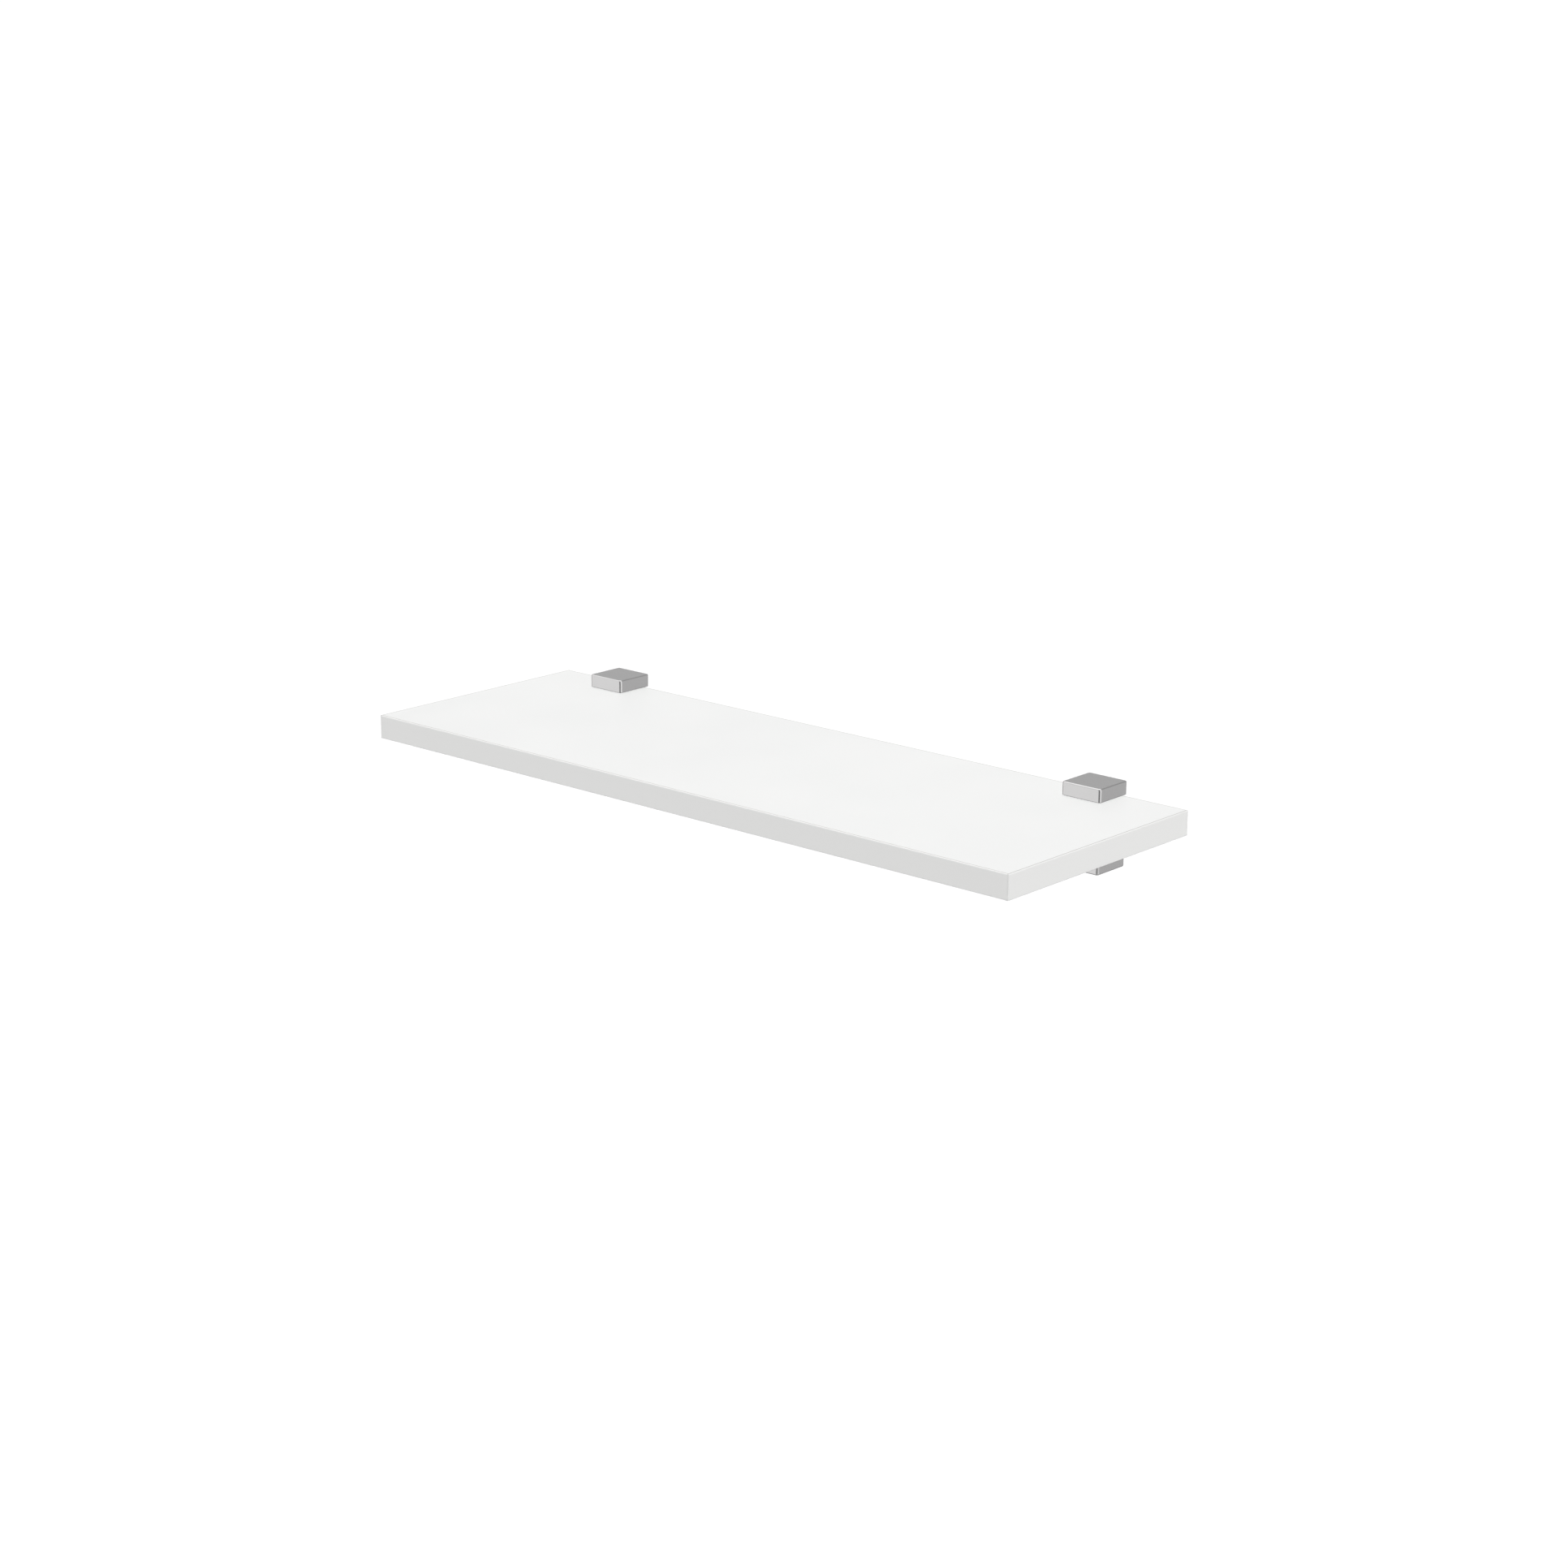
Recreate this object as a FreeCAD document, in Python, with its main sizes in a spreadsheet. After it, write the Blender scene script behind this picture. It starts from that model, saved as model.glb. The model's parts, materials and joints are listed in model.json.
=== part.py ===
"""Wall shelf: a white melamine-faced board held by two adjustable clamp brackets.

Frame, in millimetres: the origin is the middle of the four fixing holes, on the wall plane. +X runs along the
board to the right as seen from the room, +Y points into the wall and +Z points up.
"""

import FreeCAD, Part
import math
import os
import re

import Sketcher

# Driving dimensions. Each is a plain number in the sheet, and every feature is bound to them.
SIZES = {
    # board
    "board_length": 600,
    "board_depth": 200,
    "board_thickness": 18,
    "face_sheet": 0.3,
    "band_thickness": 1.0,
    "band_round": 0.8,
    "seam_bevel": 0.12,
    # bracket casting
    "bracket_spacing": 460,
    "jaw_width": 33,
    "jaw_depth": 32,
    "upper_jaw_height": 10,
    "corner_round": 2.0,
    "edge_round": 1.2,
    "board_side_round": 0.5,
    "web_thickness": 3.5,
    "web_width": 18,
    "web_overhang": 1,
    "flange_thickness": 1.6,
    "lug_height": 7,
    "lug_wall": 4,
    "lug_round": 3,
    "lug_clearance": 3.1,
    # fixing holes
    "fixing_drop": 17,
    "fixing_spacing": 16,
    "fixing_hole": 4.5,
    "countersink": 8.5,
    # lower jaw
    "jaw_wall": 2.5,
    "roof_thickness": 3.6,
    "seat_thickness": 2.6,
    "rib_depth": 2,
    "rib_height": 1.5,
    "slide_gap": 0.2,
    # pads
    "pad_thickness": 1.2,
    "pad_proud": 0.25,
    "pad_margin": 2.5,
    "pad_corner": 1.5,
    "pad_gap": 0.1,
    "peg_diameter": 3,
    "peg_length": 1.4,
    "peg_spacing": 16,
    # clamp screw
    "screw_length": 25,
    "thread_diameter": 6,
    "thread_pitch": 1,
    "thread_depth": 0.45,
    "thread_gap": 0.05,
    "tip_gap": 0.6,
    "tip_bevel": 0.7,
    "head_diameter": 10,
    "head_height": 4,
    "head_round": 0.6,
    "head_recess": 0.4,
    "head_room": 1.25,
    "socket_width": 4,
    "socket_depth": 2.3,
    # washer and retaining ring
    "shank_gap": 0.2,
    "washer_thickness": 1,
    "washer_gap": 0.5,
    "ring_thickness": 0.8,
    "ring_lip": 2,
    "ring_bite": 0.55,
    "ring_mouth": 4,
    "ring_gap": 0.05,
}

# Places and widths that several pieces share, as expressions in the sizes above.
BOARD_FRONT = "(-web_thickness - board_depth)"
BOARD_BACK = "(-web_thickness)"
BOARD_BOTTOM = "(fixing_drop - board_thickness)"
CORE_LENGTH = "(board_length - 2 * band_thickness)"
CORE_FRONT = f"({BOARD_FRONT} + band_thickness)"
CORE_BACK = f"({BOARD_BACK} - band_thickness)"
UPPER_JAW_BASE = "(fixing_drop + pad_proud)"
LOWER_JAW_TOP = f"({BOARD_BOTTOM} - pad_proud)"
SCREW_Y = "(-jaw_depth / 2)"
UNDER_HEAD = f"({LOWER_JAW_TOP} - roof_thickness - tip_gap - screw_length)"
LOWER_JAW_BASE = f"({UNDER_HEAD} - head_height - head_recess)"
JAW_FLOOR = f"({UNDER_HEAD} + washer_thickness + seat_thickness)"
RING_BASE = f"({JAW_FLOOR} + ring_gap)"
LUG_BASE = f"({RING_BASE} + ring_thickness + lug_clearance)"
LUG_WIDTH = "(thread_diameter + 2 * lug_wall)"
FLANGE_BACK = "(flange_thickness - web_thickness)"
FLANGE_WIDTH = "(jaw_width - 2 * jaw_wall - 2 * slide_gap)"
PAD_FRONT = "(pad_margin - jaw_depth)"
PAD_BACK = "(-web_thickness - slide_gap - pad_margin / 2)"
PAD_MIDDLE = f"(({PAD_FRONT} + {PAD_BACK}) / 2)"
HEAD_BORE = "(head_diameter + 2 * head_room)"
SHANK_HOLE = "(thread_diameter + 2 * shank_gap)"
GROOVE_FLOOR = "(thread_diameter - 2 * ring_bite)"

SIDES = {"left": -1, "right": 1}
NEAR = 1e-4

doc = FreeCAD.newDocument("wall_shelf")


# ---- tools for the model ----


def fill_sheet():
    """Writes the driving dimensions into a sheet, one aliased cell each."""
    sheet = doc.addObject("Spreadsheet::Sheet", "sizes")
    for row, (name, number) in enumerate(SIZES.items(), start=1):
        sheet.set(f"A{row}", name)
        sheet.set(f"B{row}", str(number))
        sheet.setAlias(f"B{row}", name)
    doc.recompute()


def bind(feature, target, text):
    """Binds a property to an expression whose size names are cells of the sheet."""
    def cell(match):
        name = match.group()
        return f"sizes.{name}" if name in SIZES else name

    feature.setExpression(target, re.sub(r"[a-z_]+", cell, text))


def place(feature, x="0", y="0", z="0"):
    for axis, text in zip("xyz", (x, y, z)):
        bind(feature, f"Placement.Base.{axis}", text)


def new_body(label):
    body = doc.addObject("PartDesign::Body", label)
    body.Label = label
    return body


def origin_of(body, role):
    return next(item for item in body.Origin.OriginFeatures if item.Role == role)


def sketch_on(body, name, role, offset="0"):
    """A sketch on one of the body's own origin planes, moved along that plane's normal."""
    sketch = body.newObject("Sketcher::SketchObject", name)
    sketch.AttachmentSupport = [(origin_of(body, role), "")]
    sketch.MapMode = "FlatFace"
    bind(sketch, "AttachmentOffset.Base.z", offset)
    return sketch


def outline(sketch, corners):
    """A closed outline of straight lines, with both coordinates of every corner bound."""
    count = len(corners)
    turn = 2 * math.pi / count
    start = [FreeCAD.Vector(math.cos(turn * i), math.sin(turn * i), 0) for i in range(count)]
    for i in range(count):
        sketch.addGeometry(Part.LineSegment(start[i], start[(i + 1) % count]))
    for i in range(count):
        sketch.addConstraint(Sketcher.Constraint("Coincident", i, 2, (i + 1) % count, 1))
    for i, corner in enumerate(corners):
        for kind, text, value in zip(("DistanceX", "DistanceY"), corner, start[i]):
            index = sketch.addConstraint(Sketcher.Constraint(kind, -1, 1, i, 1, value))
            sketch.renameConstraint(index, f"{kind}_{i}")
            bind(sketch, f"Constraints.{kind}_{i}", text)


def rectangle(body, name, width, front, back, base):
    """A sketch at height base of a rectangle centred across the body."""
    sketch = sketch_on(body, name + "_outline", "XY_Plane", base)
    left = f"-({width}) / 2"
    right = f"({width}) / 2"
    outline(sketch, [(left, front), (right, front), (right, back), (left, back)])
    return sketch


def block(body, name, width, front, back, base, height):
    """Adds a block that rises from base by height."""
    pad = body.newObject("PartDesign::Pad", name)
    pad.Profile = rectangle(body, name, width, front, back, base)
    bind(pad, "Length", height)
    doc.recompute()


def recess(body, name, width, front, back, base, height):
    """Cuts a block out, from base up by height."""
    pocket = body.newObject("PartDesign::Pocket", name)
    pocket.Profile = rectangle(body, name, width, front, back, base)
    pocket.Reversed = True
    bind(pocket, "Length", height)
    doc.recompute()


def cylinder(body, name, diameter, height, x="0", y="0", z="0", cut=False, into_wall=False):
    """Adds or cuts a cylinder that starts at a point of the body and runs along +Z, or along +Y."""
    kind = "SubtractiveCylinder" if cut else "AdditiveCylinder"
    feature = body.newObject("PartDesign::" + kind, name)
    if into_wall:
        feature.Placement.Rotation = FreeCAD.Rotation(FreeCAD.Vector(1, 0, 0), -90)
    bind(feature, "Radius", f"({diameter}) / 2")
    bind(feature, "Height", height)
    place(feature, x, y, z)
    doc.recompute()


def turned(body, kind, name, corners):
    """A Revolution or a Groove about the body's Z axis. Each corner is a radius and a height."""
    sketch = sketch_on(body, name + "_profile", "XZ_Plane")
    outline(sketch, corners)
    feature = body.newObject("PartDesign::" + kind, name)
    feature.Profile = sketch
    feature.ReferenceAxis = (origin_of(body, "Z_Axis"), [""])
    feature.Angle = 360
    doc.recompute()
    return feature


def soften(body, name, kind, size, chosen):
    """A Fillet or a Chamfer on the edges of the body so far that chosen() picks."""
    base = body.Tip
    names = [f"Edge{i}" for i, edge in enumerate(base.Shape.Edges, start=1) if chosen(edge)]
    feature = body.newObject("PartDesign::" + kind, name)
    feature.Base = (base, names)
    bind(feature, {"Fillet": "Radius", "Chamfer": "Size"}[kind], size)
    doc.recompute()


def at(edge, axis, value):
    """True if the whole edge lies at that coordinate."""
    box = edge.BoundBox
    low, high = {"x": (box.XMin, box.XMax), "y": (box.YMin, box.YMax), "z": (box.ZMin, box.ZMax)}[axis]
    return abs(low - value) < NEAR and abs(high - value) < NEAR


def upright(edge):
    return edge.BoundBox.XLength < NEAR and edge.BoundBox.YLength < NEAR


def rounded_block(body, name, front, back, base, height, board_below):
    """The block of a jaw: its upright corners are rounded first, then its rims, less beside the board."""
    block(body, name, "jaw_width", front, back, base, height)
    soften(body, name + "_corners", "Fillet", "corner_round", upright)
    box = body.Tip.Shape.BoundBox
    near, far = (box.ZMin, box.ZMax) if board_below else (box.ZMax, box.ZMin)
    soften(body, name + "_outer_rim", "Fillet", "edge_round", lambda edge: at(edge, "z", far))
    soften(body, name + "_board_rim", "Fillet", "board_side_round", lambda edge: at(edge, "z", near))


# ---- the board ----


def make_core():
    body = new_body("board_core")
    block(body, "chipboard", CORE_LENGTH, CORE_FRONT, CORE_BACK,
          f"{BOARD_BOTTOM} + face_sheet", "board_thickness - 2 * face_sheet")


def make_face_sheet(label, base, faces_up):
    """A decor sheet. Its outer rim is bevelled, which leaves a fine groove beside the bands."""
    body = new_body(label)
    block(body, "sheet", CORE_LENGTH, CORE_FRONT, CORE_BACK, base, "face_sheet")
    box = body.Tip.Shape.BoundBox
    level = box.ZMax if faces_up else box.ZMin
    soften(body, "seam", "Chamfer", "seam_bevel", lambda edge: at(edge, "z", level))


def make_end_band(side, sign):
    """A band on a short end. It runs the full depth and covers the long bands' ends."""
    body = new_body(f"{side}_edge_band")
    block(body, "strip", "band_thickness", BOARD_FRONT, BOARD_BACK, BOARD_BOTTOM, "board_thickness")
    half = sign * SIZES["band_thickness"] / 2
    soften(body, "outer_edges", "Fillet", "band_round", lambda edge: at(edge, "x", half))
    soften(body, "seam", "Chamfer", "seam_bevel", lambda edge: at(edge, "x", -half))
    place(body, x=f"{sign} * (board_length - band_thickness) / 2")


def make_long_band(label, front, faces_room):
    """A band along the front or the back, between the end bands."""
    body = new_body(label)
    block(body, "strip", CORE_LENGTH, front, f"{front} + band_thickness", BOARD_BOTTOM, "board_thickness")
    box = body.Tip.Shape.BoundBox
    outer, inner = (box.YMin, box.YMax) if faces_room else (box.YMax, box.YMin)
    soften(body, "outer_edges", "Fillet", "band_round",
           lambda edge: at(edge, "y", outer) and not upright(edge))
    soften(body, "seam", "Chamfer", "seam_bevel",
           lambda edge: at(edge, "y", outer) if upright(edge) else at(edge, "y", inner))


# ---- the brackets ----


def pad_seat(body, face, into):
    """The shallow seat of a pad in a jaw's clamping face, with a blind hole for each of its pegs.

    into is 1 where the casting lies above the face, and -1 where it lies below.
    """
    seat = "(pad_thickness - pad_proud)"
    hole = "(peg_length + pad_gap)"
    seat_base = face if into > 0 else f"{face} - {seat}"
    hole_base = f"{face} + {seat}" if into > 0 else f"{face} - {seat} - {hole}"
    recess(body, "pad_seat", "jaw_width - 2 * pad_margin", PAD_FRONT, PAD_BACK, seat_base, seat)
    depth = SIZES["pad_thickness"] - SIZES["pad_proud"]
    soften(body, "pad_seat_corners", "Fillet", "pad_corner",
           lambda edge: upright(edge) and abs(edge.Length - depth) < NEAR)
    for side, sign in SIDES.items():
        cylinder(body, f"{side}_peg_hole", "peg_diameter + 2 * pad_gap", hole,
                 x=f"{sign} * peg_spacing / 2", y=PAD_MIDDLE, z=hole_base, cut=True)


def make_bracket_body(side, sign):
    """Upper jaw, back web with its guide flanges, and the threaded lug, in one casting."""
    body = new_body(f"{side}_bracket_body")
    rounded_block(body, "upper_jaw", "-jaw_depth", "0", UPPER_JAW_BASE, "upper_jaw_height", board_below=True)
    pad_seat(body, UPPER_JAW_BASE, into=1)
    web_base = f"({LUG_BASE} - web_overhang)"
    web_height = f"({UPPER_JAW_BASE} + board_side_round - {web_base})"
    block(body, "web", "web_width", "-web_thickness", "0", web_base, web_height)
    block(body, "flanges", FLANGE_WIDTH, "-web_thickness", FLANGE_BACK, web_base, web_height)
    block(body, "lug", LUG_WIDTH, f"{SCREW_Y} - {LUG_WIDTH} / 2", "-web_thickness", LUG_BASE, "lug_height")
    lug_front = -(SIZES["jaw_depth"] + SIZES["thread_diameter"]) / 2 - SIZES["lug_wall"]
    soften(body, "lug_corners", "Fillet", "lug_round",
           lambda edge: upright(edge) and at(edge, "y", lug_front))
    cylinder(body, "lug_thread", "thread_diameter + 2 * thread_gap", "lug_height",
             y=SCREW_Y, z=LUG_BASE, cut=True)
    for name, row in (("upper", 1), ("lower", -1)):
        cylinder(body, f"{name}_fixing_hole", "fixing_hole", "web_thickness",
                 y="-web_thickness", z=f"{row} * fixing_spacing / 2", cut=True, into_wall=True)
    soften(body, "countersinks", "Chamfer", "(countersink - fixing_hole) / 2",
           lambda edge: at(edge, "y", -SIZES["web_thickness"])
           and abs(edge.BoundBox.XLength - SIZES["fixing_hole"]) < NEAR)
    place(body, x=f"{sign} * bracket_spacing / 2")


def make_lower_jaw(side, sign):
    """The hollow jaw that slides down the web. It holds the flanges between its ribs and lips."""
    body = new_body(f"{side}_lower_jaw")
    rounded_block(body, "housing", "-jaw_depth", "-slide_gap", LOWER_JAW_BASE,
                  f"{LOWER_JAW_TOP} - {LOWER_JAW_BASE}", board_below=False)
    pad_seat(body, LOWER_JAW_TOP, into=-1)
    inside = "(jaw_width - 2 * jaw_wall)"
    slot_front = "(-web_thickness - slide_gap)"
    slot_back = f"({FLANGE_BACK} + slide_gap)"
    rib_front = f"({slot_front} - rib_depth)"
    to_roof = f"{LOWER_JAW_TOP} - roof_thickness - {JAW_FLOOR}"
    to_top = f"{LOWER_JAW_TOP} - {JAW_FLOOR}"
    recess(body, "cavity", inside, "jaw_wall - jaw_depth", rib_front, JAW_FLOOR, to_roof)
    recess(body, "neck", f"{inside} - 2 * rib_height", rib_front, slot_front, JAW_FLOOR, to_roof)
    recess(body, "flange_slot", inside, slot_front, slot_back, JAW_FLOOR, to_top)
    recess(body, "web_slot", "web_width + 2 * slide_gap", slot_back, "0", JAW_FLOOR, to_top)
    cylinder(body, "head_bore", HEAD_BORE, "head_recess + head_height + washer_thickness",
             y=SCREW_Y, z=LOWER_JAW_BASE, cut=True)
    cylinder(body, "shank_hole", SHANK_HOLE, "seat_thickness",
             y=SCREW_Y, z=f"{JAW_FLOOR} - seat_thickness", cut=True)
    place(body, x=f"{sign} * bracket_spacing / 2")


def make_pad(label, sign, face, into):
    """A rubber pad: its proud face presses the board, and its two pegs hold it in the jaw."""
    body = new_body(label)
    sheet_base = face if into > 0 else f"{face} - pad_thickness"
    peg_base = f"{face} + pad_thickness" if into > 0 else f"{face} - pad_thickness - peg_length"
    block(body, "sheet", "jaw_width - 2 * pad_margin - 2 * pad_gap",
          f"{PAD_FRONT} + pad_gap", f"{PAD_BACK} - pad_gap", sheet_base, "pad_thickness")
    soften(body, "corners", "Fillet", "pad_corner", upright)
    for peg, peg_sign in SIDES.items():
        cylinder(body, f"{peg}_peg", "peg_diameter", "peg_length",
                 x=f"{peg_sign} * peg_spacing / 2", y=PAD_MIDDLE, z=peg_base)
    place(body, x=f"{sign} * bracket_spacing / 2")


def make_clamp_screw(side, sign):
    """A low-head socket screw, head down. Its thread is drawn as rings one pitch apart."""
    body = new_body(f"{side}_clamp_screw")
    shank = "(thread_diameter / 2)"
    turned(body, "Revolution", "blank", [
        ("0", "-head_height"),
        ("head_diameter / 2", "-head_height"),
        ("head_diameter / 2", "0"),
        (shank, "0"),
        (shank, "screw_length - tip_bevel"),
        (f"{shank} - tip_bevel", "screw_length"),
        ("0", "screw_length"),
    ])
    head_end = body.Tip.Shape.BoundBox.ZMin
    soften(body, "head_edge", "Fillet", "head_round", lambda edge: at(edge, "z", head_end))
    groove_base = "(washer_thickness + seat_thickness)"
    groove_top = f"({groove_base} + ring_thickness + 2 * ring_gap)"
    turned(body, "Groove", "ring_groove", [
        (f"{GROOVE_FLOOR} / 2", groove_base),
        ("thread_diameter", groove_base),
        ("thread_diameter", groove_top),
        (f"{GROOVE_FLOOR} / 2", groove_top),
    ])
    mouth = "(thread_depth / 10)"
    ring = turned(body, "Groove", "thread_ring", [
        (f"{shank} - thread_depth", f"{groove_top} + 1.5 * thread_pitch"),
        (f"{shank} + {mouth}", f"{groove_top} + thread_pitch"),
        (f"{shank} + {mouth}", f"{groove_top} + 2 * thread_pitch"),
    ])
    rows = body.newObject("PartDesign::LinearPattern", "thread_rings")
    rows.Originals = [ring]
    rows.Direction = (origin_of(body, "Z_Axis"), [""])
    count = f"floor((screw_length - tip_bevel - {groove_top} - thread_pitch) / thread_pitch)"
    bind(rows, "Occurrences", count)
    bind(rows, "Length", f"({count} - 1) * thread_pitch")
    body.Tip = rows
    doc.recompute()
    socket = body.newObject("PartDesign::SubtractivePrism", "hex_socket")
    socket.Polygon = 6
    bind(socket, "Circumradius", "socket_width / sqrt(3)")
    bind(socket, "Height", "socket_depth")
    place(socket, z="-head_height")
    place(body, x=f"{sign} * bracket_spacing / 2", y=SCREW_Y, z=UNDER_HEAD)
    doc.recompute()


def make_washer(side, sign):
    body = new_body(f"{side}_screw_washer")
    cylinder(body, "disc", f"{HEAD_BORE} - 2 * washer_gap", "washer_thickness")
    cylinder(body, "hole", SHANK_HOLE, "washer_thickness", cut=True)
    place(body, x=f"{sign} * bracket_spacing / 2", y=SCREW_Y, z=UNDER_HEAD)


def make_retaining_ring(side, sign):
    """A snap ring in the screw's groove, open to the front, which makes the jaw follow the screw down."""
    body = new_body(f"{side}_screw_retaining_ring")
    cylinder(body, "disc", "thread_diameter + 2 * ring_lip", "ring_thickness")
    cylinder(body, "hole", f"{GROOVE_FLOOR} + 2 * ring_gap", "ring_thickness", cut=True)
    recess(body, "ring_mouth", "ring_mouth", "-thread_diameter - ring_lip", "0", "0", "ring_thickness")
    place(body, x=f"{sign} * bracket_spacing / 2", y=SCREW_Y, z=RING_BASE)


# ---- the shelf ----


def build():
    fill_sheet()
    make_core()
    make_face_sheet("top_face_laminate", "(fixing_drop - face_sheet)", faces_up=True)
    make_face_sheet("bottom_face_laminate", BOARD_BOTTOM, faces_up=False)
    make_long_band("front_edge_band", BOARD_FRONT, faces_room=True)
    make_long_band("back_edge_band", CORE_BACK, faces_room=False)
    for side, sign in SIDES.items():
        make_end_band(side, sign)
        make_bracket_body(side, sign)
        make_pad(f"{side}_upper_pad", sign, UPPER_JAW_BASE + " - pad_proud", into=1)
        make_lower_jaw(side, sign)
        make_pad(f"{side}_lower_pad", sign, LOWER_JAW_TOP + " + pad_proud", into=-1)
        make_clamp_screw(side, sign)
        make_washer(side, sign)
        make_retaining_ring(side, sign)
    doc.recompute()


def check():
    """Stops with a message if any object failed, or any piece is not one valid solid."""
    failed = [item.Name for item in doc.Objects if {"Invalid", "Error"} & set(item.State)]
    if failed:
        raise RuntimeError(f"failed objects: {failed}")
    for body in pieces():
        if body.Shape.isNull() or not body.Shape.isValid() or len(body.Shape.Solids) != 1:
            raise RuntimeError(f"{body.Label} is not one valid solid")


def pieces():
    return [item for item in doc.Objects if item.TypeId == "PartDesign::Body"]


def write():
    os.makedirs("parts", exist_ok=True)
    for body in pieces():
        body.Shape.exportStep(f"parts/{body.Label}.step")
        box = body.Shape.BoundBox
        print(f"{body.Label}: {body.Shape.Volume:.0f} mm3, z {box.ZMin:.2f} to {box.ZMax:.2f}")


build()
check()
write()
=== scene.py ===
import json
import math

import bpy
from mathutils import Matrix, Vector


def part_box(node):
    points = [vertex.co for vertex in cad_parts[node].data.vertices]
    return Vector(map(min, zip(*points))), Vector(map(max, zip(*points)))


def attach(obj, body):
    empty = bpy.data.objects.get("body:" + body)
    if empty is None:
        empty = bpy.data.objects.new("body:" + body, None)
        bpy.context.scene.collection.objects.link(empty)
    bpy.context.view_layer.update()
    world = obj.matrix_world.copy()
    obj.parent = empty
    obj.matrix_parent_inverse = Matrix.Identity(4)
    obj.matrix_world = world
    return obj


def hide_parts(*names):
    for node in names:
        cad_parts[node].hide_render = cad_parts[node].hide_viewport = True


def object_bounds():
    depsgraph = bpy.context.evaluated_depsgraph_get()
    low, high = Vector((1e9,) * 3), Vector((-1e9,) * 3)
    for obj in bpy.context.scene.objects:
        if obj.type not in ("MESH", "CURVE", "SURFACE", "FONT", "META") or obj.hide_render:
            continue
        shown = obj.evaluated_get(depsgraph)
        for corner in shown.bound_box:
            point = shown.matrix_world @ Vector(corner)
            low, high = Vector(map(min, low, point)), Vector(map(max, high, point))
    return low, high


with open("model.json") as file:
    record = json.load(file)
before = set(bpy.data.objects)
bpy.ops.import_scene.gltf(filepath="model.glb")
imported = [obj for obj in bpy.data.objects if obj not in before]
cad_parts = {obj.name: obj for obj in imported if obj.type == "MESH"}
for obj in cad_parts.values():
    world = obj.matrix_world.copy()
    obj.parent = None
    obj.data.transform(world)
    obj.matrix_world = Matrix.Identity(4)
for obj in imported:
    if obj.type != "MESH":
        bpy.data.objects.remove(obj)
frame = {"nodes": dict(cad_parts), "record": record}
cad_low, cad_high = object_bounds()

MM = 0.001
SIDES = ("left", "right")
BOARD_SLOTS = ("white_melamine", "white_edge_band", "chipboard")

# ---- camera: place in metres, angles in degrees ----

CAMERA_PLACE = Vector((1.4475, -1.7168, 0.6057))
CAMERA_AZIMUTH = 41.496
CAMERA_ELEVATION = 15.632
CAMERA_ROLL = 0.329
LENS_MM = 71.66
SENSOR_MM = 36.0

# ---- studio: lengths in metres, and a brightness of 1 shows as white ----

FLOOR_DROP = 1.5
FLOOR_HALF = 400.0
FLOOR_WHITE = (0.95, 0.95, 0.95, 1)
FLOOR_CLOUD = (0.96, 0.96, 0.96, 1)
BACKDROP_WHITE = 1.02
ROOM_LEVEL = 0.397
ROOM_RISE = 0.081

# Soft lamps and dark flags far away round the shelf. Each has its direction, the radii in degrees inside
# which it is full and outside which it has faded out, and the brightness it adds.
LAMPS = {
    "zenith_box": ((0.0, 0.0, 1.0), 15, 45, 1.13),
    "overhead_box": ((-0.50, -0.30, 0.80), 18, 48, 0.90),
    "front_left_fill": ((-0.64, -0.72, -0.25), 15, 45, 0.70),
    "right_box": ((0.96, -0.20, -0.15), 20, 50, 0.25),
    "right_high_box": ((0.92, -0.25, 0.30), 15, 45, 0.90),
    "right_low_fill": ((0.90, 0.0, -0.45), 15, 45, 0.27),
    "back_right_fill": ((0.64, 0.72, -0.27), 15, 45, 0.24),
    "back_left_fill": ((-0.64, 0.72, 0.30), 15, 45, 0.13),
    "floor_bounce": ((0.0, -0.10, -1.0), 12, 38, 0.75),
    "front_high_flag": ((0.0, -0.80, 0.50), 15, 50, -0.20),
    "camera_side_flag": ((0.49, -0.85, -0.22), 6, 18, -0.34),
    "under_flag": ((-0.50, 0.45, -0.74), 20, 50, -0.28),
}

# The Mix node gives the same names to its number and colour sockets, so those are found by their order.
MIX_NUMBER_A = 2
MIX_NUMBER_B = 3
MIX_COLOUR_A = 6
MIX_COLOUR_B = 7
MIX_COLOUR_RESULT = 2


def make_camera():
    azimuth, elevation, roll = (math.radians(a) for a in (CAMERA_AZIMUTH, CAMERA_ELEVATION, CAMERA_ROLL))
    forward = Vector((-math.sin(azimuth) * math.cos(elevation),
                      math.cos(azimuth) * math.cos(elevation),
                      -math.sin(elevation)))
    level = Vector((math.cos(azimuth), math.sin(azimuth), 0))
    above = level.cross(forward)
    right = math.cos(roll) * level + math.sin(roll) * above
    up = math.cos(roll) * above - math.sin(roll) * level
    data = bpy.data.cameras.new("camera")
    data.lens = LENS_MM
    data.sensor_width = SENSOR_MM
    data.clip_end = 2 * FLOOR_HALF
    camera = bpy.data.objects.new("camera", data)
    camera.matrix_world = Matrix((right, up, -forward)).transposed().to_4x4()
    camera.location = CAMERA_PLACE
    bpy.context.scene.collection.objects.link(camera)
    bpy.context.scene.camera = camera


# ---- node helpers ----


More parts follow.
